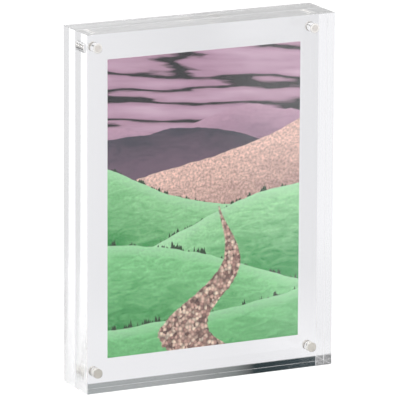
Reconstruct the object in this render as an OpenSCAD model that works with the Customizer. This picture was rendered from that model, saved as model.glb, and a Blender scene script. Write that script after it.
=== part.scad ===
// Magnetic acrylic block frame
//
// Two thick clear blocks stand side by side on their bottom faces and hold a print between them.
// Four magnets sit flush in the mating face of each block and pull the pair together through
// the clear border round the print. The origin is on the ground, under the middle of the print:
// X runs along the width, -Y faces the viewer and Z is up.

/* [Print] */
// Width of the print
print_w = 89; // [60:1:210]
// Height of the print
print_h = 127; // [60:1:300]
// Thickness of the photo paper
print_t = 0.25; // [0.15:0.05:0.6]
// Air left on each side of the print, so that it slides
print_clearance = 0.025; // [0.02:0.005:0.1]

/* [Blocks] */
// Clear border from the edge of the print to the edge of the blocks
border = 12.5; // [12:0.5:30]
// Thickness of each block, front to back
block_t = 11.5; // [8:0.5:25]
// Width of the polished bevel on every edge
bevel = 0.1; // [0.1:0.05:1]

/* [Magnets] */
// Diameter of a magnet
magnet_d = 4; // [3:0.5:5]
// Length of a magnet
magnet_l = 4; // [2:0.5:6]
// Chamfer on both rims of a magnet
magnet_chamfer = 0.2; // [0.1:0.05:0.4]
// From the axis of a magnet to the two nearest edges of its block
magnet_inset = 7; // [5:0.5:8]
// How far a magnet sits below the mating face
magnet_recess = 0.05; // [0.02:0.01:0.3]
// Air round a magnet in its bore
bore_clearance = 0.05; // [0.03:0.01:0.2]

/* [Adhesive] */
// Thickness of the cured adhesive between a bore's floor and its magnet
adhesive_t = 0.15; // [0.05:0.05:0.5]

/* [Hidden] */
$fn = 96;
FRONT = -1;
BACK = 1;
LEFT = -1;
RIGHT = 1;
BOTTOM = -1;
TOP = 1;

block_w = print_w + 2 * border;
block_h = print_h + 2 * border;
block_gap = print_t + 2 * print_clearance;
bore_r = magnet_d / 2 + bore_clearance;
bore_l = magnet_recess + magnet_l + adhesive_t;

// how far a bore's cutter starts in front of the mating face
cut_start = 1;

// Rectangle round the origin with its four corners cut at 45 degrees
module bevelled_outline(w, h, cut) {
    x = w / 2;
    y = h / 2;
    polygon([
        [cut - x, -y], [x - cut, -y], [x, cut - y], [x, y - cut],
        [x - cut, y], [cut - x, y], [-x, y - cut], [-x, cut - y]
    ]);
}

// Box round the origin with a flat bevel on all twelve edges, as three crossed prisms leave it
module bevelled_box(size, cut) {
    intersection() {
        linear_extrude(size.z, center = true)
            bevelled_outline(size.x, size.y, cut);
        rotate([90, 0, 0])
            linear_extrude(size.y, center = true)
                bevelled_outline(size.x, size.z, cut);
        rotate([90, 0, 90])
            linear_extrude(size.x, center = true)
                bevelled_outline(size.y, size.z, cut);
    }
}

// Puts its children on the axis of one magnet, at the mating face, with +Z running into the block
module at_magnet(block, level, side) {
    x = side * (block_w / 2 - magnet_inset);
    z = block_h / 2 + level * (block_h / 2 - magnet_inset);
    translate([x, block * block_gap / 2, z])
        rotate([-90 * block, 0, 0])
            children();
}

// Blind flat-ended bore, open at the mating face
module magnet_bore() {
    translate([0, 0, -cut_start])
        cylinder(h = bore_l + cut_start, r = bore_r);
}

// One polished block with its four blind bores
module acrylic_block(block) {
    difference() {
        translate([0, block * (block_gap + block_t) / 2, block_h / 2])
            bevelled_box([block_w, block_t, block_h], bevel);
        for (level = [BOTTOM, TOP], side = [LEFT, RIGHT])
            at_magnet(block, level, side)
                magnet_bore();
    }
}

// Cylinder magnet with chamfered rims, turned from its half section
module magnet(block, level, side) {
    r = magnet_d / 2;
    color("silver")
        at_magnet(block, level, side)
            translate([0, 0, magnet_recess])
                rotate_extrude()
                    polygon([
                        [0, 0], [r - magnet_chamfer, 0], [r, magnet_chamfer],
                        [r, magnet_l - magnet_chamfer], [r - magnet_chamfer, magnet_l],
                        [0, magnet_l]
                    ]);
}

// Film of cured adhesive between the magnet and the floor of its bore
module adhesive(block, level, side) {
    color("wheat")
        at_magnet(block, level, side)
            translate([0, 0, magnet_recess + magnet_l])
                cylinder(h = adhesive_t, d = magnet_d);
}

module back_block() {
    color("whitesmoke", 0.35)
        acrylic_block(BACK);
}

module front_block() {
    color("whitesmoke", 0.35)
        acrylic_block(FRONT);
}

// Photo paper, upright in the gap between the blocks
module photo_print() {
    color("seagreen")
        translate([-print_w / 2, -print_t / 2, border])
            cube([print_w, print_t, print_h]);
}

back_block();
front_block();
photo_print();
magnet(BACK, TOP, LEFT);  // magnet_back_top_left
magnet(BACK, TOP, RIGHT);  // magnet_back_top_right
magnet(BACK, BOTTOM, LEFT);  // magnet_back_bottom_left
magnet(BACK, BOTTOM, RIGHT);  // magnet_back_bottom_right
magnet(FRONT, TOP, LEFT);  // magnet_front_top_left
magnet(FRONT, TOP, RIGHT);  // magnet_front_top_right
magnet(FRONT, BOTTOM, LEFT);  // magnet_front_bottom_left
magnet(FRONT, BOTTOM, RIGHT);  // magnet_front_bottom_right
adhesive(BACK, TOP, LEFT);  // adhesive_back_top_left
adhesive(BACK, TOP, RIGHT);  // adhesive_back_top_right
adhesive(BACK, BOTTOM, LEFT);  // adhesive_back_bottom_left
adhesive(BACK, BOTTOM, RIGHT);  // adhesive_back_bottom_right
adhesive(FRONT, TOP, LEFT);  // adhesive_front_top_left
adhesive(FRONT, TOP, RIGHT);  // adhesive_front_top_right
adhesive(FRONT, BOTTOM, LEFT);  // adhesive_front_bottom_left
adhesive(FRONT, BOTTOM, RIGHT);  // adhesive_front_bottom_right
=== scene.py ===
from math import cos, pi, radians, sin

import bmesh
import bpy
from mathutils import Matrix, Vector


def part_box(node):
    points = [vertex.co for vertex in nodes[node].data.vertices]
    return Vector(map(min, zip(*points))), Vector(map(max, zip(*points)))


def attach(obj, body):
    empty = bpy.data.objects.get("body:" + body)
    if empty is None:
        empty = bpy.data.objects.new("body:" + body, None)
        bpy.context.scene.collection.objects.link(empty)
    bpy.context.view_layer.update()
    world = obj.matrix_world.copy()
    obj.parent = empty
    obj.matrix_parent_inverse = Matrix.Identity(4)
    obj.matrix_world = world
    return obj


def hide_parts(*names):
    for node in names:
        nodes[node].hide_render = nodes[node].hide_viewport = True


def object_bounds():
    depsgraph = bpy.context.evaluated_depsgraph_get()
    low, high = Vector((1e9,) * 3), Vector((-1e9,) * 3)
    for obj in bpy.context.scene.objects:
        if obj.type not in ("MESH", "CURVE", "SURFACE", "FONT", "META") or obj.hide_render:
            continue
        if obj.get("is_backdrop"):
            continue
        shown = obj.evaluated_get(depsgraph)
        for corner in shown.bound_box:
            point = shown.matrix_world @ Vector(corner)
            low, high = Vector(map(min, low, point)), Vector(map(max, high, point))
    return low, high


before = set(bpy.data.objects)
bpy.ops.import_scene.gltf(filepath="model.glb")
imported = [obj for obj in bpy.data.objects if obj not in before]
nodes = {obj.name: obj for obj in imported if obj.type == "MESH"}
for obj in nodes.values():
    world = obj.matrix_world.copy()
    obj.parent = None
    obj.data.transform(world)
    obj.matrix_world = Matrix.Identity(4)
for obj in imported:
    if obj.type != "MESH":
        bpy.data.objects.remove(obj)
cad_low, cad_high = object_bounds()
MM = 0.001

# The camera stands to the left of the frame and a little above it, with a long lens, so that the
# front, the left edges and the top edges show and upright lines stay nearly parallel.
CAMERA_AZIMUTH = radians(-26.13)
CAMERA_ELEVATION = radians(13.435)
CAMERA_ROLL = radians(0.266)
CAMERA_DISTANCE = 2.106
CAMERA_LENS_MM = 453.47
AIM_RIGHT = 0.24 * MM
AIM_DOWN = 1.22 * MM

middle = (cad_low + cad_high) / 2
backward = Vector((
    sin(CAMERA_AZIMUTH) * cos(CAMERA_ELEVATION),
    -cos(CAMERA_AZIMUTH) * cos(CAMERA_ELEVATION),
    sin(CAMERA_ELEVATION),
))
level_right = (-backward).cross(Vector((0, 0, 1))).normalized()
level_up = level_right.cross(-backward)
right = cos(CAMERA_ROLL) * level_right + sin(CAMERA_ROLL) * level_up
up = cos(CAMERA_ROLL) * level_up - sin(CAMERA_ROLL) * level_right
camera_turn = Matrix((right, up, backward)).transposed().to_4x4()
camera_place = middle + backward * CAMERA_DISTANCE + right * AIM_RIGHT - up * AIM_DOWN
camera = bpy.data.objects.new("camera", bpy.data.cameras.new("camera"))
camera.data.lens = CAMERA_LENS_MM
camera.matrix_world = Matrix.Translation(camera_place) @ camera_turn
bpy.context.scene.collection.objects.link(camera)
bpy.context.scene.camera = camera
bpy.context.scene.view_settings.view_transform = "Standard"

# The two blocks are cut from nominal 12 mm clear cast acrylic, which measures 11.5 mm, and are
# diamond polished on every edge and bevel. The eye sees only what they bend and mirror, blurred a
# little at the side and top edges by the feed lines of the cutter, drawn coarser than real ones.
ACRYLIC_IOR = 1.49
ACRYLIC_TINT = "#FCFCFD"
SHADOW_TINT = "#F6F6F6"
SQUARE_TO_AXIS = 0.99
FEED_LINE_MM = 0.15
FEED_LINE_DEPTH_MM = 0.004
SIDE_LINES_DEEPER = 2.0
# low on the left edges the lines get deeper still, between these two heights
LOW_LINES_DEEPER = 14.0
LOW_LINES_START_MM = 55.0
LOW_LINES_FULL_MM = 40.0


def linear(code):
    """Turns an sRGB hex code into the linear colour that a socket holds."""
    shares = [int(code[i : i + 2], 16) / 255 for i in (1, 3, 5)]
    return tuple(s / 12.92 if s <= 0.04045 else ((s + 0.055) / 1.055) ** 2.4 for s in shares) + (1.0,)


def add(tree, kind, feeds=None, **settings):
    """Adds one node, makes its settings, and sets or links each named or numbered input.

    A Mix node takes its two numbers at 2 and 3, or its two colours at 6 and 7.
    """
    made = tree.nodes.new(kind)
    for name, value in settings.items():
        setattr(made, name, value)
    for name, value in (feeds or {}).items():
        if isinstance(value, bpy.types.Node):
            value = value.outputs[0]
        if isinstance(value, bpy.types.NodeSocket):
            tree.links.new(value, made.inputs[name])
        else:
            made.inputs[name].default_value = value
    return made


def new_material(name):
    """Makes an empty material and gives it with its tree."""
    material = bpy.data.materials.new(name)
    material.use_nodes = True
    material.node_tree.nodes.clear()
    return material, material.node_tree


def clothe(names, material):
    """Gives CAD nodes their finish."""
    for name in names:
        nodes[name].data.materials.clear()
        nodes[name].data.materials.append(material)


acrylic, tree = new_material("polished_cast_acrylic")
spot = add(tree, "ShaderNodeTexCoord")
where = add(tree, "ShaderNodeSeparateXYZ", {0: spot.outputs["Object"]})
facing = add(tree, "ShaderNodeSeparateXYZ", {0: spot.outputs["Normal"]})
sideways = add(tree, "ShaderNodeMath", {0: facing.outputs["X"]}, operation="ABSOLUTE")
on_side = add(tree, "ShaderNodeMath", {0: sideways, 1: SQUARE_TO_AXIS}, operation="GREATER_THAN")
upwards = add(tree, "ShaderNodeMath", {0: facing.outputs["Z"]}, operation="ABSOLUTE")
on_level = add(tree, "ShaderNodeMath", {0: upwards, 1: SQUARE_TO_AXIS}, operation="GREATER_THAN")
high_up = add(tree, "ShaderNodeMath", {0: where.outputs["Z"], 1: middle.z}, operation="GREATER_THAN")
on_top = add(tree, "ShaderNodeMath", {0: on_level, 1: high_up}, operation="MULTIPLY")
on_left = add(tree, "ShaderNodeMath", {0: where.outputs["X"], 1: 0.0}, operation="LESS_THAN")
left_depth = add(tree, "ShaderNodeMapRange", {
    "Value": where.outputs["Z"],
    "From Min": LOW_LINES_START_MM * MM,
    "From Max": LOW_LINES_FULL_MM * MM,
    "To Min": SIDE_LINES_DEEPER,
    "To Max": LOW_LINES_DEEPER,
})
side_depth = add(tree, "ShaderNodeMix", {0: on_left, 2: SIDE_LINES_DEEPER, 3: left_depth})
depth = add(tree, "ShaderNodeMath", {0: on_side, 1: side_depth, 2: on_top}, operation="MULTIPLY_ADD")
travel = add(tree, "ShaderNodeMix", {0: on_top, 2: where.outputs["Z"], 3: where.outputs["X"]})
feed = add(tree, "ShaderNodeMath", {0: travel, 1: 1 / (FEED_LINE_MM * MM)}, operation="MULTIPLY")
lines = add(tree, "ShaderNodeTexNoise", {"W": feed, "Scale": 1.0, "Detail": 1.0}, noise_dimensions="1D")
cut = add(tree, "ShaderNodeMath", {0: lines, 1: depth}, operation="MULTIPLY")
ripple = add(tree, "ShaderNodeBump", {
    "Height": cut,
    "Distance": FEED_LINE_DEPTH_MM * MM,
    "Strength": 1.0,
})
body = add(tree, "ShaderNodeBsdfPrincipled", {
    "Base Color": linear(ACRYLIC_TINT),
    "Roughness": 0.0,
    "IOR": ACRYLIC_IOR,
    "Transmission Weight": 1.0,
    "Normal": ripple,
})
lit_through = add(tree, "ShaderNodeBsdfTransparent", {"Color": linear(SHADOW_TINT)})
path = add(tree, "ShaderNodeLightPath")
either = add(tree, "ShaderNodeMixShader", {0: path.outputs["Is Shadow Ray"], 1: body, 2: lit_through})
add(tree, "ShaderNodeOutputMaterial", {"Surface": either})
clothe(["front_block", "back_block"], acrylic)

# Eight small cylinder magnets, pressed from rare-earth powder, barrel-tumbled and plated with bright
# nickel. The plate mirrors what the acrylic brings to it, softened by tiny dents from the tumbling.
NICKEL_LIGHT = "#F0EDE8"
NICKEL_DARK = "#DDD9D2"
NICKEL_ROUGHNESS = (0.18, 0.30)
DENT_MM = 0.22
DENT_DEPTH_MM = 0.004

corners = [f"{level}_{side}" for level in ("top", "bottom") for side in ("left", "right")]
nickel, tree = new_material("bright_nickel_plate")
spot = add(tree, "ShaderNodeTexCoord")
in_mm = add(tree, "ShaderNodeVectorMath", {0: spot.outputs["Object"], "Scale": 1 / MM}, operation="SCALE")
dents = add(tree, "ShaderNodeTexNoise", {"Vector": in_mm, "Scale": 1 / DENT_MM, "Detail": 2.0})
tone = add(tree, "ShaderNodeMix", {
    0: dents,
    6: linear(NICKEL_DARK),
    7: linear(NICKEL_LIGHT),
}, data_type="RGBA")
haze = add(tree, "ShaderNodeMapRange", {
    "Value": dents,
    "To Min": NICKEL_ROUGHNESS[0],
    "To Max": NICKEL_ROUGHNESS[1],
})
dented = add(tree, "ShaderNodeBump", {"Height": dents, "Distance": DENT_DEPTH_MM * MM, "Strength": 1.0})
plate = add(tree, "ShaderNodeBsdfPrincipled", {
    "Base Color": tone.outputs[2],
    "Metallic": 1.0,
    "Roughness": haze,
    "Normal": dented,
})
add(tree, "ShaderNodeOutputMaterial", {"Surface": plate})
clothe([f"magnet_{block}_{c}" for block in ("front", "back") for c in corners], nickel)

# The magnets are glued in: a drop of clear adhesive cures between each magnet and the floor of its
# bore into a thin cloudy film, and the surplus runs back round the magnet as an uneven sleeve. It
# wets the polished bore, so it shows through the block without gloss: pale or milky, with patches
# of painted shade in the back block near the joint.
# the pale end colours are partly the cured film and partly a painted reflection of the bright table in the
# nickel ends behind it
ADHESIVE_LIGHT = "#E4DFDA"
ADHESIVE_DARK = "#CBC5BD"
ADHESIVE_LOWER_GREY = "#B4B0A2"
ADHESIVE_MILKY = "#F2EFEA"
# painted shade: the colours of the darker patches on the back-block sleeves near the joint
ADHESIVE_PAINTED_SHADE_LIGHT = "#E2DED8"
ADHESIVE_PAINTED_SHADE_DARK = "#7C7771"
ADHESIVE_SPECK = "#7D776B"
ADHESIVE_IOR = 1.47
ADHESIVE_ROUGHNESS = 0.75
CLOUD_MM = 0.9
SPECK_MM = 0.55
SPECK_LIMITS = (0.54, 0.66)
SPECK_STRENGTH = 0.85
SPECKS_ON_END = 0.25
SKIN_DEPTH_MM = 0.02
SKIN_STRENGTH = 0.6
# the pale disc on the upper ends fades into a milky ring between these two radii
UPPER_DISC_MM = (1.30, 1.55)
# behind the joint of the blocks the sleeves carry painted shade up to the first depth and none from the
# second
PAINTED_SHADE_ENDS_MM = (2.4, 3.1)
PAINTED_SHADE_PATCHES = (0.40, 0.60)
# a surface has the end's colour where it faces along the magnet by more than the first share, and
# the sleeve's where it does so by less than the second
END_TO_SLEEVE = (0.7, 0.3)
# radius and height above the magnet's end of the film's face, from near its middle to its rim
FILM_FACE_MM = ((0.6, 0.114), (1.15, 0.118), (1.55, 0.116), (1.80, 0.105), (1.95, 0.078), (2.02, 0.020))
FILM_MIDDLE_MM = 0.112
UNDERSIDE_MM = 0.003
RIM_SEGMENTS = 64
SLEEVE_REACH_MM = {"front_top": 0.8, "front_bottom": 3.6, "back_top": 3.6, "back_bottom": 3.6}
SLEEVE_END_MM = 3.9
SLEEVE_START_MM = 0.08
SLEEVE_OUTSIDE_MM = 2.054
SLEEVE_MIDDLE_MM = 2.03
SLEEVE_INSIDE_MM = 2.008
TIP_ROUNDING_MM = (0.06, 0.01)
# waves in the sleeve's edge: how many go round, their share of its reach, and their phase
SLEEVE_WAVES = ((1, 0.24, 0.9), (3, 0.13, 2.1), (7, 0.05, 4.0))
MAGNET_CHAMFER_MM = 0.2

low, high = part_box("magnet_front_top_right")
seat_x = (low[0] + high[0]) / 2 / MM
upper_seat_z = (low[2] + high[2]) / 2 / MM
glue, tree = new_material("cured_adhesive")
spot = add(tree, "ShaderNodeTexCoord")
in_mm = add(tree, "ShaderNodeVectorMath", {0: spot.outputs["Object"], "Scale": 1 / MM}, operation="SCALE")
where = add(tree, "ShaderNodeSeparateXYZ", {0: in_mm})
clouds = add(tree, "ShaderNodeTexNoise", {"Vector": in_mm, "Scale": 1 / CLOUD_MM, "Detail": 3.0})

# ends: cloudy film, greyer on the lower magnets, in a milky ring on the upper ones
cloudy = add(tree, "ShaderNodeMix", {
    0: clouds,
    6: linear(ADHESIVE_DARK),
    7: linear(ADHESIVE_LIGHT),
}, data_type="RGBA")
low_down = add(tree, "ShaderNodeMath", {0: where.outputs["Z"], 1: middle.z / MM}, operation="LESS_THAN")
lower_greying = add(tree, "ShaderNodeMath", {0: low_down, 1: clouds}, operation="MULTIPLY")
greyer = add(tree, "ShaderNodeMix", {
    0: lower_greying,
    6: cloudy.outputs[2],
    7: linear(ADHESIVE_LOWER_GREY),
}, data_type="RGBA")
off_middle = add(tree, "ShaderNodeMath", {0: where.outputs["X"]}, operation="ABSOLUTE")
off_x = add(tree, "ShaderNodeMath", {0: off_middle, 1: seat_x}, operation="SUBTRACT")
off_z = add(tree, "ShaderNodeMath", {0: where.outputs["Z"], 1: upper_seat_z}, operation="SUBTRACT")
off_axis = add(tree, "ShaderNodeCombineXYZ", {"X": off_x, "Z": off_z})
radius = add(tree, "ShaderNodeVectorMath", {0: off_axis}, operation="LENGTH")
outside_disc = add(tree, "ShaderNodeMapRange", {
    "Value": radius.outputs["Value"],
    "From Min": UPPER_DISC_MM[0],
    "From Max": UPPER_DISC_MM[1],
})
high_up = add(tree, "ShaderNodeMath", {0: 1.0, 1: low_down}, operation="SUBTRACT")
upper_ring = add(tree, "ShaderNodeMath", {0: outside_disc, 1: high_up}, operation="MULTIPLY")
# painted reflection: the pale disc and milky ring on the upper ends stand partly for the nickel's
# reflection of the bright table
end_tone = add(tree, "ShaderNodeMix", {
    0: upper_ring,
    6: greyer.outputs[2],
    7: linear(ADHESIVE_MILKY),
}, data_type="RGBA")

# sleeves: milky, with patches of painted shade in the back block near the joint
behind_joint = add(tree, "ShaderNodeMath", {0: where.outputs["Y"], 1: 0.0}, operation="GREATER_THAN")
painted_shade_depth = add(tree, "ShaderNodeMapRange", {
    "Value": where.outputs["Y"],
    "From Min": PAINTED_SHADE_ENDS_MM[0],
    "From Max": PAINTED_SHADE_ENDS_MM[1],
    "To Min": 1.0,
    "To Max": 0.0,
})
painted_shade = add(tree, "ShaderNodeMath", {0: behind_joint, 1: painted_shade_depth}, operation="MULTIPLY")
shade_patches = add(tree, "ShaderNodeMapRange", {
    "Value": clouds,
    "From Min": PAINTED_SHADE_PATCHES[0],
    "From Max": PAINTED_SHADE_PATCHES[1],
})
painted_shade_tone = add(tree, "ShaderNodeMix", {
    0: shade_patches,
    6: linear(ADHESIVE_PAINTED_SHADE_DARK),
    7: linear(ADHESIVE_PAINTED_SHADE_LIGHT),
}, data_type="RGBA")
sleeve_tone = add(tree, "ShaderNodeMix", {
    0: painted_shade,
    6: linear(ADHESIVE_MILKY),
    7: painted_shade_tone.outputs[2],
}, data_type="RGBA")

# both, with the specks of trapped bubbles
facing = add(tree, "ShaderNodeSeparateXYZ", {0: spot.outputs["Normal"]})
endwise = add(tree, "ShaderNodeMath", {0: facing.outputs["Y"]}, operation="ABSOLUTE")
around = add(tree, "ShaderNodeMapRange", {
    "Value": endwise,
    "From Min": END_TO_SLEEVE[0],
    "From Max": END_TO_SLEEVE[1],
})
tone = add(tree, "ShaderNodeMix", {
    0: around,
    6: end_tone.outputs[2],
    7: sleeve_tone.outputs[2],
}, data_type="RGBA")
bubbles = add(tree, "ShaderNodeTexNoise", {"Vector": in_mm, "Scale": 1 / SPECK_MM, "Detail": 2.0})
specks = add(tree, "ShaderNodeMapRange", {
    "Value": bubbles,
    "From Min": SPECK_LIMITS[0],
    "From Max": SPECK_LIMITS[1],
    "To Max": SPECK_STRENGTH,
})
speckled = add(tree, "ShaderNodeMath", {
    0: around,
    1: 1.0 - SPECKS_ON_END,
    2: SPECKS_ON_END,
}, operation="MULTIPLY_ADD")
seen_specks = add(tree, "ShaderNodeMath", {0: specks, 1: speckled}, operation="MULTIPLY")
speckled_tone = add(tree, "ShaderNodeMix", {
    0: seen_specks,
    6: tone.outputs[2],
    7: linear(ADHESIVE_SPECK),
}, data_type="RGBA")
skin = add(tree, "ShaderNodeBump", {
    "Height": clouds,
    "Distance": SKIN_DEPTH_MM * MM,
    "Strength": SKIN_STRENGTH,
})
film = add(tree, "ShaderNodeBsdfPrincipled", {
    "Base Color": speckled_tone.outputs[2],
    "Roughness": ADHESIVE_ROUGHNESS,
    "IOR": ADHESIVE_IOR,
    "Specular IOR Level": 0.0,
    "Normal": skin,
})
add(tree, "ShaderNodeOutputMaterial", {"Surface": film})

for block, inward in (("front", 1), ("back", -1)):
    for number, corner in enumerate(corners):
        low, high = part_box(f"adhesive_{block}_{corner}")
        x = (low[0] + high[0]) / 2
        z = (low[2] + high[2]) / 2
        magnet_end = high[1] if block == "front" else low[1]
        level = corner.split("_")[0]
        reach = SLEEVE_REACH_MM[f"{block}_{level}"]
        turns = [2 * pi * step / RIM_SEGMENTS for step in range(RIM_SEGMENTS)]

        # one section through film and sleeve for each step round the magnet
        sections = []
        for turn in turns:
            waves = sum(
                size * sin(count * turn + phase + 2 * number + inward)
                for count, size, phase in SLEEVE_WAVES
            )
            tip = -min(reach * (1 + waves), SLEEVE_END_MM)
            sections.append([
                *FILM_FACE_MM,
                (SLEEVE_OUTSIDE_MM, -SLEEVE_START_MM),
                (SLEEVE_OUTSIDE_MM, (tip - SLEEVE_START_MM) / 2),
                (SLEEVE_OUTSIDE_MM, tip + TIP_ROUNDING_MM[0]),
                (SLEEVE_MIDDLE_MM, tip + TIP_ROUNDING_MM[1]),
                (SLEEVE_INSIDE_MM, tip),
                (SLEEVE_INSIDE_MM, (tip - MAGNET_CHAMFER_MM) / 2),
                (SLEEVE_INSIDE_MM, -MAGNET_CHAMFER_MM),
                (SLEEVE_INSIDE_MM - MAGNET_CHAMFER_MM, UNDERSIDE_MM),
                (FILM_FACE_MM[-1][0] / 2, UNDERSIDE_MM),
            ])
        rings = len(sections[0])
        points = []
        for ring in range(rings):
            for turn, section in zip(turns, sections):
                away, rise = section[ring]
                points.append((
                    x + away * cos(turn) * MM,
                    magnet_end - inward * rise * MM,
                    z + away * sin(turn) * MM,
                ))
        points += [(x, magnet_end - inward * rise * MM, z) for rise in (FILM_MIDDLE_MM, UNDERSIDE_MM)]
        face_middle, underside_middle = len(points) - 2, len(points) - 1
        last = (rings - 1) * RIM_SEGMENTS
        faces = []
        for step in range(RIM_SEGMENTS):
            after = (step + 1) % RIM_SEGMENTS
            faces.append((face_middle, step, after))
            faces.append((underside_middle, last + after, last + step))
            for ring in range(rings - 1):
                here = ring * RIM_SEGMENTS
                there = here + RIM_SEGMENTS
                faces.append((here + step, there + step, there + after, here + after))

        mesh = bpy.data.meshes.new(f"film_{block}_{corner}")
        mesh.from_pydata(points, [], faces)
        shaped = bmesh.new()
        shaped.from_mesh(mesh)
        bmesh.ops.recalc_face_normals(shaped, faces=shaped.faces)
        shaped.to_mesh(mesh)
        shaped.free()
        mesh.polygons.foreach_set("use_smooth", [True] * len(mesh.polygons))
        mesh.materials.append(glue)
        piece = bpy.data.objects.new(f"film_{block}_{corner}", mesh)
        bpy.context.scene.collection.objects.link(piece)
        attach(piece, block)
        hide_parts(f"adhesive_{block}_{corner}")

# The print is glossy photo paper, 89 x 127 mm and 0.25 mm thick, printed to its edges on the front
# and bare white behind. Its picture is an evening view over green hills: mauve bands of cloud, slate
# ridges, a slope of heather, and a stony track. The gloss gives weak, fairly sharp highlights.
PRINT_FOOT_MM = 12.5
PAPER_WHITE = "#F4F4F4"
PAPER_ROUGHNESS = 0.6
GLOSS_ROUGHNESS = 0.22
PAPER_GRAIN_MM = 0.3
PAPER_TOOTH_MM = 0.003
INK_EDGE_MM = 0.15
CLOUD_STRETCH = (0.011, 0.075, 1.0)
CLOUD_START = (3.1, 1.7, 0.0)
CLOUD_TILT = 0.10
CLOUD_SPREAD = (0.28, 0.72)
CLOUD_SHADES = (
    (0.00, "#E0C4D4"),
    (0.24, "#C3A0B5"),
    (0.39, "#B18CA0"),
    (0.445, "#0B0A12"),
    (0.50, "#05050B"),
    (0.555, "#AE889E"),
    (0.72, "#C5A2B7"),
    (1.00, "#E4C9D8"),
)
# each ridge: height of the crest, its slope, height and length of its waves, roughness, how deep
# its foot colour lies below the crest, colours of crest and foot, and how speckled it is
RIDGES = (
    (98.0, 0.05, 3.0, 11.0, 3.0, 16.0, "#BE98AD", "#927187", 0.2),
    (91.0, -0.12, 3.5, 15.0, 2.4, 14.0, "#3B3846", "#6B5567", 0.3),
    (82.0, 0.34, 4.0, 23.0, 2.0, 34.0, "#E8C2B4", "#A07C74", 1.2),
    (66.0, -0.30, 4.0, 19.0, 1.6, 34.0, "#98D89A", "#279040", 0.35),
    (53.0, 0.22, 5.0, 25.0, 1.4, 36.0, "#A2E0A4", "#249443", 0.35),
    (36.0, -0.20, 5.0, 30.0, 1.4, 40.0, "#8CD692", "#1C8A3A", 0.35),
    (17.0, 0.16, 4.0, 36.0, 1.4, 30.0, "#82D08A", "#188636", 0.35),
)
FIRST_GREEN_HILL = 3
WAVE_SHIFT = 1.7
JAG_SHIFT_MM = 31.0
JAGS_PER_MM = 0.07
GRASS_STRETCH = (0.10, 0.30, 1.0)
GRASS_CONTRAST = 1.5
SPECKS_PER_MM = 0.9
SPECKLE_SPREAD = (0.35, 0.65)
SPECKLE_DEPTH = 0.35
CREST_LIGHT = "#C6EBCB"
CREST_LIGHT_MM = (0.3, 5.0)
CREST_LIGHT_SHARE = 0.75
HEDGE = "#123A14"
HEDGES_PER_MM = 0.32
HEDGE_GAPS = (0.5, 0.75)
HEDGE_LOW_MM = -0.3
HEDGE_TALL_MM = 2.0
HEDGE_TALLER_MM = 0.5
TRACK_TOP_MM = 60.0
TRACK_WIDTH_MM = 27.0
TRACK_START_MM = 0.3
TRACK_WIDENS = 1.35
TRACK_SWING_MM = 15.0
TRACK_MIDDLE_MM = 4.0
TRACK_BENDS = (0.4, 5.4)
TRACK_RAGS_PER_MM = 0.35
TRACK_RAGGED_MM = 5.0
TRACK_EDGE_MM = 0.3
TRACK_STONES = ((0.0, "#6A4740"), (0.3, "#B4897D"), (0.6, "#DCB4A2"), (1.0, "#F6E0C8"))
STONE_MM = 1.5
STONE_ROUNDING = (0.2, 0.75)
STONE_LIGHT = (1.1, 0.45)


def shades_between(tree, share, steps):
    """Runs a share through a row of colours, each at its step from first to last."""
    first, last = steps[0][0], steps[-1][0]
    row = add(tree, "ShaderNodeValToRGB", {0: share})
    for at, code in steps[1:-1]:
        row.color_ramp.elements.new((at - first) / (last - first)).color = linear(code)
    row.color_ramp.elements[0].color = linear(steps[0][1])
    row.color_ramp.elements[-1].color = linear(steps[-1][1])
    return row.outputs[0]


paper, tree = new_material("glossy_photo_paper")
spot = add(tree, "ShaderNodeTexCoord")
in_mm = add(tree, "ShaderNodeVectorMath", {0: spot.outputs["Object"], "Scale": 1 / MM}, operation="SCALE")
where = add(tree, "ShaderNodeSeparateXYZ", {0: in_mm})
right_mm = where.outputs["X"]
up_mm = add(tree, "ShaderNodeMath", {0: where.outputs["Z"], 1: PRINT_FOOT_MM}, operation="SUBTRACT")
flat = add(tree, "ShaderNodeCombineXYZ", {"X": right_mm, "Y": up_mm})

# sky: cloud streaks from a noise stretched along the horizon
tilt = add(tree, "ShaderNodeMath", {0: right_mm, 1: CLOUD_TILT, 2: up_mm}, operation="MULTIPLY_ADD")
drift = add(tree, "ShaderNodeCombineXYZ", {"X": right_mm, "Y": tilt})
streaks = add(tree, "ShaderNodeMapping", {0: drift, "Scale": CLOUD_STRETCH, "Location": CLOUD_START})
cloud = add(tree, "ShaderNodeTexNoise", {
    "Vector": streaks,
    "Scale": 1.0,
    "Detail": 5.0,
    "Roughness": 0.45,
})
spread = add(tree, "ShaderNodeMapRange", {
    "Value": cloud,
    "From Min": CLOUD_SPREAD[0],
    "From Max": CLOUD_SPREAD[1],
})
view = shades_between(tree, spread, CLOUD_SHADES)

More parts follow.
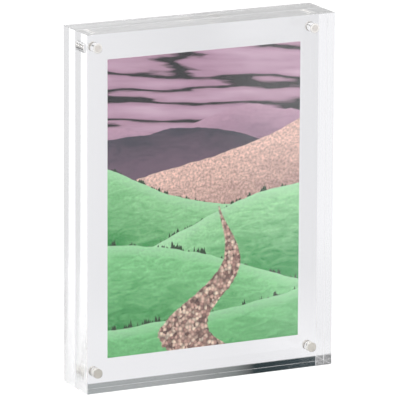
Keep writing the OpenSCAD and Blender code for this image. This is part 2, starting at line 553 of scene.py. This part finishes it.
# hills, from the farthest to the nearest, each with mottled ground, the green ones with lit crest
# and hedges
for number, (crest, slope, wave, length, rough, fade, top, foot, speckle) in enumerate(RIDGES):
    swing = add(tree, "ShaderNodeMath", {
        0: right_mm,
        1: 1 / length,
        2: WAVE_SHIFT * number,
    }, operation="MULTIPLY_ADD")
    swell = add(tree, "ShaderNodeMath", {0: swing}, operation="SINE")
    along = add(tree, "ShaderNodeCombineXYZ", {"X": right_mm, "Y": JAG_SHIFT_MM * number})
    jag = add(tree, "ShaderNodeTexNoise", {"Vector": along, "Scale": JAGS_PER_MM, "Detail": 6.0})
    sloped = add(tree, "ShaderNodeMath", {
        0: right_mm,
        1: slope,
        2: crest - rough,
    }, operation="MULTIPLY_ADD")
    waved = add(tree, "ShaderNodeMath", {0: swell, 1: wave, 2: sloped}, operation="MULTIPLY_ADD")
    jagged = add(tree, "ShaderNodeMath", {0: jag, 1: 2 * rough, 2: waved}, operation="MULTIPLY_ADD")
    below = add(tree, "ShaderNodeMath", {0: jagged, 1: up_mm}, operation="SUBTRACT")
    solid = add(tree, "ShaderNodeMapRange", {
        "Value": below,
        "From Min": -INK_EDGE_MM,
        "From Max": INK_EDGE_MM,
    })
    down = add(tree, "ShaderNodeMapRange", {"Value": below, "From Min": 0.0, "From Max": fade})
    lie = add(tree, "ShaderNodeMapping", {0: flat, "Rotation": (0, 0, slope), "Scale": GRASS_STRETCH})
    blades = add(tree, "ShaderNodeTexNoise", {
        "Vector": lie,
        "Scale": 1.0,
        "Detail": 8.0,
        "Roughness": 0.6,
        "Distortion": 1.2,
    })
    patchy = add(tree, "ShaderNodeMath", {
        0: blades,
        1: GRASS_CONTRAST,
        2: -GRASS_CONTRAST / 2,
    }, operation="MULTIPLY_ADD")
    shade = add(tree, "ShaderNodeMath", {0: down, 1: patchy}, operation="ADD", use_clamp=True)
    ground = add(tree, "ShaderNodeMix", {0: shade, 6: linear(top), 7: linear(foot)}, data_type="RGBA")
    grain = add(tree, "ShaderNodeTexNoise", {
        "Vector": flat,
        "Scale": SPECKS_PER_MM,
        "Detail": 4.0,
        "Roughness": 0.7,
    })
    speck = add(tree, "ShaderNodeMapRange", {
        "Value": grain,
        "From Min": SPECKLE_SPREAD[0],
        "From Max": SPECKLE_SPREAD[1],
        "To Min": 1.0 - SPECKLE_DEPTH * speckle,
        "To Max": 1.0 + SPECKLE_DEPTH * speckle,
    })
    mottled = add(tree, "ShaderNodeVectorMath", {0: ground.outputs[2], "Scale": speck}, operation="SCALE")
    hill = mottled.outputs[0]
    if number >= FIRST_GREEN_HILL:
        rim = add(tree, "ShaderNodeMapRange", {
            "Value": below,
            "From Min": CREST_LIGHT_MM[0],
            "From Max": CREST_LIGHT_MM[1],
            "To Min": CREST_LIGHT_SHARE,
            "To Max": 0.0,
        })
        broken = add(tree, "ShaderNodeMath", {0: rim, 1: blades}, operation="MULTIPLY")
        lit = add(tree, "ShaderNodeMix", {0: broken, 6: hill, 7: linear(CREST_LIGHT)}, data_type="RGBA")
        hill = lit.outputs[2]
        clumps = add(tree, "ShaderNodeTexNoise", {
            "Vector": along,
            "Scale": HEDGES_PER_MM,
            "Detail": 3.0,
            "Roughness": 0.7,
        })
        tall = add(tree, "ShaderNodeMapRange", {
            "Value": clumps,
            "From Min": HEDGE_GAPS[0],
            "From Max": HEDGE_GAPS[1],
            "To Min": HEDGE_LOW_MM,
            "To Max": HEDGE_TALL_MM + HEDGE_TALLER_MM * number,
        })
        under_hedge = add(tree, "ShaderNodeMath", {0: below, 1: tall}, operation="ADD")
        hedge = add(tree, "ShaderNodeMapRange", {
            "Value": under_hedge,
            "From Min": -INK_EDGE_MM,
            "From Max": INK_EDGE_MM,
        })
        hedged = add(tree, "ShaderNodeMix", {0: hedge, 6: view, 7: linear(HEDGE)}, data_type="RGBA")
        view = hedged.outputs[2]
    view = add(tree, "ShaderNodeMix", {0: solid, 6: view, 7: hill}, data_type="RGBA").outputs[2]

# track: an S that widens towards the viewer, of small stones
climb = add(tree, "ShaderNodeMapRange", {"Value": up_mm, "From Min": TRACK_TOP_MM, "From Max": 0.0})
near = add(tree, "ShaderNodeMath", {0: climb, 1: TRACK_WIDENS}, operation="POWER")
half_width = add(tree, "ShaderNodeMath", {
    0: near,
    1: TRACK_WIDTH_MM / 2,
    2: TRACK_START_MM,
}, operation="MULTIPLY_ADD")
bend = add(tree, "ShaderNodeMath", {
    0: near,
    1: TRACK_BENDS[1],
    2: TRACK_BENDS[0],
}, operation="MULTIPLY_ADD")
sway = add(tree, "ShaderNodeMath", {0: bend}, operation="SINE")
growth = add(tree, "ShaderNodeMath", {0: near, 1: 0.5, 2: 0.5}, operation="MULTIPLY_ADD")
swing = add(tree, "ShaderNodeMath", {0: sway, 1: growth}, operation="MULTIPLY")
centre = add(tree, "ShaderNodeMath", {
    0: swing,
    1: TRACK_SWING_MM,
    2: TRACK_MIDDLE_MM,
}, operation="MULTIPLY_ADD")
edge = add(tree, "ShaderNodeTexNoise", {"Vector": flat, "Scale": TRACK_RAGS_PER_MM, "Detail": 4.0})
ragged = add(tree, "ShaderNodeMath", {
    0: edge,
    1: TRACK_RAGGED_MM,
    2: -TRACK_RAGGED_MM / 2,
}, operation="MULTIPLY_ADD")
across = add(tree, "ShaderNodeMath", {0: right_mm, 1: centre}, operation="SUBTRACT")
off_centre = add(tree, "ShaderNodeMath", {0: across}, operation="ABSOLUTE")
off_line = add(tree, "ShaderNodeMath", {0: ragged, 1: near, 2: off_centre}, operation="MULTIPLY_ADD")
inside = add(tree, "ShaderNodeMath", {0: half_width, 1: off_line}, operation="SUBTRACT")
paved = add(tree, "ShaderNodeMapRange", {
    "Value": inside,
    "From Min": -TRACK_EDGE_MM,
    "From Max": TRACK_EDGE_MM,
})
started = add(tree, "ShaderNodeMath", {0: up_mm, 1: TRACK_TOP_MM}, operation="LESS_THAN")
track = add(tree, "ShaderNodeMath", {0: paved, 1: started}, operation="MULTIPLY")
stones = add(tree, "ShaderNodeTexVoronoi", {"Vector": flat, "Scale": 1 / STONE_MM})
pick = add(tree, "ShaderNodeSeparateColor", {0: stones.outputs["Color"]})
stone = shades_between(tree, pick, TRACK_STONES)
light = add(tree, "ShaderNodeMapRange", {
    "Value": stones.outputs["Distance"],
    "From Min": STONE_ROUNDING[0],
    "From Max": STONE_ROUNDING[1],
    "To Min": STONE_LIGHT[0],
    "To Max": STONE_LIGHT[1],
})
round_stone = add(tree, "ShaderNodeVectorMath", {0: stone, "Scale": light}, operation="SCALE")
view = add(tree, "ShaderNodeMix", {0: track, 6: view, 7: round_stone}, data_type="RGBA").outputs[2]

# paper: the picture in front, bare and matter behind
facing = add(tree, "ShaderNodeSeparateXYZ", {0: spot.outputs["Normal"]})
printed = add(tree, "ShaderNodeMath", {0: facing.outputs["Y"], 1: -0.5}, operation="LESS_THAN")
ink = add(tree, "ShaderNodeMix", {0: printed, 6: linear(PAPER_WHITE), 7: view}, data_type="RGBA")
sheen = add(tree, "ShaderNodeMapRange", {
    "Value": printed,
    "To Min": PAPER_ROUGHNESS,
    "To Max": GLOSS_ROUGHNESS,
})
fibres = add(tree, "ShaderNodeTexNoise", {"Vector": in_mm, "Scale": 1 / PAPER_GRAIN_MM, "Detail": 3.0})
tooth = add(tree, "ShaderNodeBump", {"Height": fibres, "Distance": PAPER_TOOTH_MM * MM, "Strength": 0.5})
sheet = add(tree, "ShaderNodeBsdfPrincipled", {
    "Base Color": ink.outputs[2],
    "Roughness": sheen,
    "Normal": tooth,
})
add(tree, "ShaderNodeOutputMaterial", {"Surface": sheet})
clothe(["photo_print"], paper)

# The table is a plain pale sheet, lit from above. Seen directly it is white with a soft shadow. Seen
# in or through the acrylic it shows a painted glow instead: less to the right behind the frame, a
# painted pool of light behind its right half, more towards the right in front, and a painted shadow
# right under it.
FLOOR_SIZE = 6.0
FLOOR_DROP_MM = 0.15
FLOOR_COLOUR = "#E6E6E6"
FLOOR_LIFT = 0.34
GLOW_TINT = "#FEFEFF"
GLOW_WAY = (0.899, -0.438, 0.0)
GLOW_SPAN = (-0.15, 0.08)
GLOW_LEVELS = (0.985, 0.772)
POOL_PLACE = (0.05, 0.03, 0.0)
POOL_RADIUS = 0.15
POOL_GAIN = 0.10
FRONT_GLOW_WAY = (0.9085, 0.4179, 0.0)
FRONT_GLOW_SPAN = (0.010, 0.044)
FRONT_GLOW_LEVELS = (0.64, 1.30)
FRONT_GLOW_FROM = -0.02
# painted shadow: the level of the glow under the frame
PAINTED_SHADOW_GLOW = 0.55

half = FLOOR_SIZE / 2
floor_mesh = bpy.data.meshes.new("floor")
floor_mesh.from_pydata(
    [(x, y, -FLOOR_DROP_MM * MM) for x, y in ((-half, -half), (half, -half), (half, half), (-half, half))],
    [],
    [(0, 1, 2, 3)],
)
floor = bpy.data.objects.new("floor", floor_mesh)
bpy.context.scene.collection.objects.link(floor)
floor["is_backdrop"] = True
table, tree = new_material("pale_table")
spot = add(tree, "ShaderNodeTexCoord")
where = add(tree, "ShaderNodeSeparateXYZ", {0: spot.outputs["Object"]})
matt = add(tree, "ShaderNodeBsdfDiffuse", {"Color": linear(FLOOR_COLOUR)})
lift = add(tree, "ShaderNodeEmission", {"Strength": FLOOR_LIFT})
lifted = add(tree, "ShaderNodeAddShader", {0: matt, 1: lift})
across = add(tree, "ShaderNodeVectorMath", {
    0: spot.outputs["Object"],
    1: GLOW_WAY,
}, operation="DOT_PRODUCT")
fading = add(tree, "ShaderNodeMapRange", {
    "Value": across.outputs["Value"],
    "From Min": GLOW_SPAN[0],
    "From Max": GLOW_SPAN[1],
    "To Min": GLOW_LEVELS[0],
    "To Max": GLOW_LEVELS[1],
}, interpolation_type="SMOOTHSTEP")
# painted pool of light behind the frame's right half
away = add(tree, "ShaderNodeVectorMath", {0: spot.outputs["Object"], 1: POOL_PLACE}, operation="DISTANCE")
pool = add(tree, "ShaderNodeMapRange", {
    "Value": away.outputs["Value"],
    "From Min": POOL_RADIUS,
    "From Max": 0.0,
    "To Min": 0.0,
    "To Max": POOL_GAIN,
}, interpolation_type="SMOOTHSTEP")
rear_glow = add(tree, "ShaderNodeMath", {0: fading, 1: pool}, operation="ADD")
beside = add(tree, "ShaderNodeVectorMath", {
    0: spot.outputs["Object"],
    1: FRONT_GLOW_WAY,
}, operation="DOT_PRODUCT")
front_glow = add(tree, "ShaderNodeMapRange", {
    "Value": beside.outputs["Value"],
    "From Min": FRONT_GLOW_SPAN[0],
    "From Max": FRONT_GLOW_SPAN[1],
    "To Min": FRONT_GLOW_LEVELS[0],
    "To Max": FRONT_GLOW_LEVELS[1],
}, interpolation_type="SMOOTHSTEP")
in_front = add(tree, "ShaderNodeMapRange", {
    "Value": where.outputs["Y"],
    "From Min": 0.0,
    "From Max": FRONT_GLOW_FROM,
})
open_glow = add(tree, "ShaderNodeMix", {0: in_front, 2: rear_glow, 3: front_glow})
# painted shadow: the glow is dimmer under the frame's footprint
off_x = add(tree, "ShaderNodeMath", {0: where.outputs["X"]}, operation="ABSOLUTE")
off_y = add(tree, "ShaderNodeMath", {0: where.outputs["Y"]}, operation="ABSOLUTE")
within_x = add(tree, "ShaderNodeMath", {0: off_x, 1: cad_high.x}, operation="LESS_THAN")
within_y = add(tree, "ShaderNodeMath", {0: off_y, 1: cad_high.y}, operation="LESS_THAN")
painted_shadow_under_frame = add(tree, "ShaderNodeMath", {0: within_y, 1: within_x}, operation="MULTIPLY")
strength = add(tree, "ShaderNodeMix", {0: painted_shadow_under_frame, 2: open_glow, 3: PAINTED_SHADOW_GLOW})
glow = add(tree, "ShaderNodeEmission", {"Color": linear(GLOW_TINT), "Strength": strength})
path = add(tree, "ShaderNodeLightPath")
sharp = add(tree, "ShaderNodeMixShader", {0: path.outputs["Is Camera Ray"], 1: glow, 2: lifted})
every = add(tree, "ShaderNodeMixShader", {0: path.outputs["Is Diffuse Ray"], 1: sharp, 2: matt})
add(tree, "ShaderNodeOutputMaterial", {"Surface": every})
floor_mesh.materials.append(table)

# The room is white all round and shows only in the acrylic and the magnets. A grey to dark screen
# stands behind the frame on its right, another in front, and dark clutter far behind on the left.
# They keep low, near the height at which the blocks' bottom edges mirror them. The ceiling is dim.
WHITE = (1.0, 1.0, 1.0, 1.0)
BLACK = (0.0, 0.0, 0.0, 1.0)
# turns are degrees to the right of straight back or straight ahead, and feet, heads and edges are
# sines of the angle above the horizon
SCREEN_LEFT = 24.79
SCREEN_RIGHT = (60.0, 45.0)
SCREEN_SHADES = (
    (SCREEN_LEFT, "#989E9D"),
    (25.68, "#979B9A"),
    (26.13, "#909392"),
    (26.55, "#7A807E"),
    (26.71, "#595D5C"),
    (26.78, "#002328"),
    (27.27, "#00272E"),
)
SCREEN_FOOT = (0.22, 0.24)
SCREEN_HEAD = (0.45, 0.35)
FRONT_SCREEN_LEFT = (25.75, 26.85)
FRONT_SCREEN_DARK = 0.95
CLUTTER_TURN = (-16.0, -40.0)
CLUTTER_SCALE = 14.0
CLUTTER_EDGES = (0.36, 0.50)
CLUTTER_COLOUR = "#14181A"
CEILING_EDGE = (0.85, 0.93)
CEILING_DARK = 0.6

world = bpy.data.worlds.new("studio")
bpy.context.scene.world = world
world.use_nodes = True
tree = world.node_tree
tree.nodes.clear()
spot = add(tree, "ShaderNodeTexCoord")
way = add(tree, "ShaderNodeSeparateXYZ", {0: spot.outputs["Generated"]})
ahead = add(tree, "ShaderNodeMath", {0: way.outputs["Y"]}, operation="ABSOLUTE")
turn = add(tree, "ShaderNodeMath", {0: way.outputs["X"], 1: ahead}, operation="ARCTAN2")
azimuth = add(tree, "ShaderNodeMath", {0: turn}, operation="DEGREES")
behind = add(tree, "ShaderNodeMath", {0: way.outputs["Y"], 1: 0.0}, operation="GREATER_THAN")
before = add(tree, "ShaderNodeMath", {0: 1.0, 1: behind}, operation="SUBTRACT")
foot = add(tree, "ShaderNodeMapRange", {
    "Value": way.outputs["Z"],
    "From Min": SCREEN_FOOT[0],
    "From Max": SCREEN_FOOT[1],
})
head = add(tree, "ShaderNodeMapRange", {
    "Value": way.outputs["Z"],
    "From Min": SCREEN_HEAD[0],
    "From Max": SCREEN_HEAD[1],
})
upright = add(tree, "ShaderNodeMath", {0: foot, 1: head}, operation="MULTIPLY")
right_end = add(tree, "ShaderNodeMapRange", {
    "Value": azimuth,
    "From Min": SCREEN_RIGHT[0],
    "From Max": SCREEN_RIGHT[1],
})
wide = add(tree, "ShaderNodeMath", {0: upright, 1: right_end}, operation="MULTIPLY")

# back screen, grey at its left end
along = add(tree, "ShaderNodeMapRange", {
    "Value": azimuth,
    "From Min": SCREEN_SHADES[0][0],
    "From Max": SCREEN_SHADES[-1][0],
})
shades = shades_between(tree, along, SCREEN_SHADES)
left_end = add(tree, "ShaderNodeMath", {0: azimuth, 1: SCREEN_LEFT}, operation="GREATER_THAN")
back_wide = add(tree, "ShaderNodeMath", {0: wide, 1: behind}, operation="MULTIPLY")
back_screen = add(tree, "ShaderNodeMath", {0: back_wide, 1: left_end}, operation="MULTIPLY")
room = add(tree, "ShaderNodeMix", {0: back_screen, 6: WHITE, 7: shades}, data_type="RGBA")

# front screen
front_end = add(tree, "ShaderNodeMapRange", {
    "Value": azimuth,
    "From Min": FRONT_SCREEN_LEFT[0],
    "From Max": FRONT_SCREEN_LEFT[1],
    "To Min": 0.0,
    "To Max": FRONT_SCREEN_DARK,
})
front_wide = add(tree, "ShaderNodeMath", {0: wide, 1: before}, operation="MULTIPLY")
front_screen = add(tree, "ShaderNodeMath", {0: front_wide, 1: front_end}, operation="MULTIPLY")
room = add(tree, "ShaderNodeMix", {0: front_screen, 6: room.outputs[2], 7: BLACK}, data_type="RGBA")

# clutter
past_start = add(tree, "ShaderNodeMath", {0: azimuth, 1: CLUTTER_TURN[0]}, operation="LESS_THAN")
before_end = add(tree, "ShaderNodeMath", {0: azimuth, 1: CLUTTER_TURN[1]}, operation="GREATER_THAN")
between = add(tree, "ShaderNodeMath", {0: past_start, 1: before_end}, operation="MULTIPLY")
low_between = add(tree, "ShaderNodeMath", {0: between, 1: upright}, operation="MULTIPLY")
cluttered = add(tree, "ShaderNodeMath", {0: low_between, 1: behind}, operation="MULTIPLY")
shapes = add(tree, "ShaderNodeTexNoise", {
    "Vector": spot.outputs["Generated"],
    "Scale": CLUTTER_SCALE,
    "Detail": 1.0,
})
things = add(tree, "ShaderNodeMapRange", {
    "Value": shapes,
    "From Min": CLUTTER_EDGES[0],
    "From Max": CLUTTER_EDGES[1],
})
clutter = add(tree, "ShaderNodeMath", {0: cluttered, 1: things}, operation="MULTIPLY")
room = add(tree, "ShaderNodeMix", {
    0: clutter,
    6: room.outputs[2],
    7: linear(CLUTTER_COLOUR),
}, data_type="RGBA")

# ceiling, and plain white where the camera looks past the frame
ceiling = add(tree, "ShaderNodeMapRange", {
    "Value": way.outputs["Z"],
    "From Min": CEILING_EDGE[0],
    "From Max": CEILING_EDGE[1],
    "To Min": 0.0,
    "To Max": CEILING_DARK,
})
room = add(tree, "ShaderNodeMix", {0: ceiling, 6: room.outputs[2], 7: BLACK}, data_type="RGBA")
path = add(tree, "ShaderNodeLightPath")
seen = add(tree, "ShaderNodeMix", {
    0: path.outputs["Is Camera Ray"],
    6: room.outputs[2],
    7: WHITE,
}, data_type="RGBA")
sky = add(tree, "ShaderNodeBackground", {"Color": seen.outputs[2], "Strength": 1.0})
add(tree, "ShaderNodeOutputWorld", {"Surface": sky})

# Two broad soft lamps light the object: one at the front left above the camera, and a weaker one
# behind to the left. Light is mirrored many times inside the blocks, so it gets more bounces.
LAMP_SIZE = 1.2
LAMPS = (
    ("front_lamp", Vector((-0.9, -1.5, 1.3)), 14.0),
    ("back_lamp", Vector((-1.2, 1.4, 1.2)), 7.0),
)
LIGHT_BOUNCES = 32

for name, place, watts in LAMPS:
    lamp_data = bpy.data.lights.new(name, "AREA")
    lamp_data.shape = "DISK"
    lamp_data.size = LAMP_SIZE
    lamp_data.energy = watts
    lamp = bpy.data.objects.new(name, lamp_data)
    lamp_turn = (middle - place).to_track_quat("-Z", "Y").to_matrix().to_4x4()
    lamp.matrix_world = Matrix.Translation(place) @ lamp_turn
    bpy.context.scene.collection.objects.link(lamp)
for limit in ("max_bounces", "glossy_bounces", "transmission_bounces"):
    setattr(bpy.context.scene.cycles, limit, LIGHT_BOUNCES)

low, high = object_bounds()
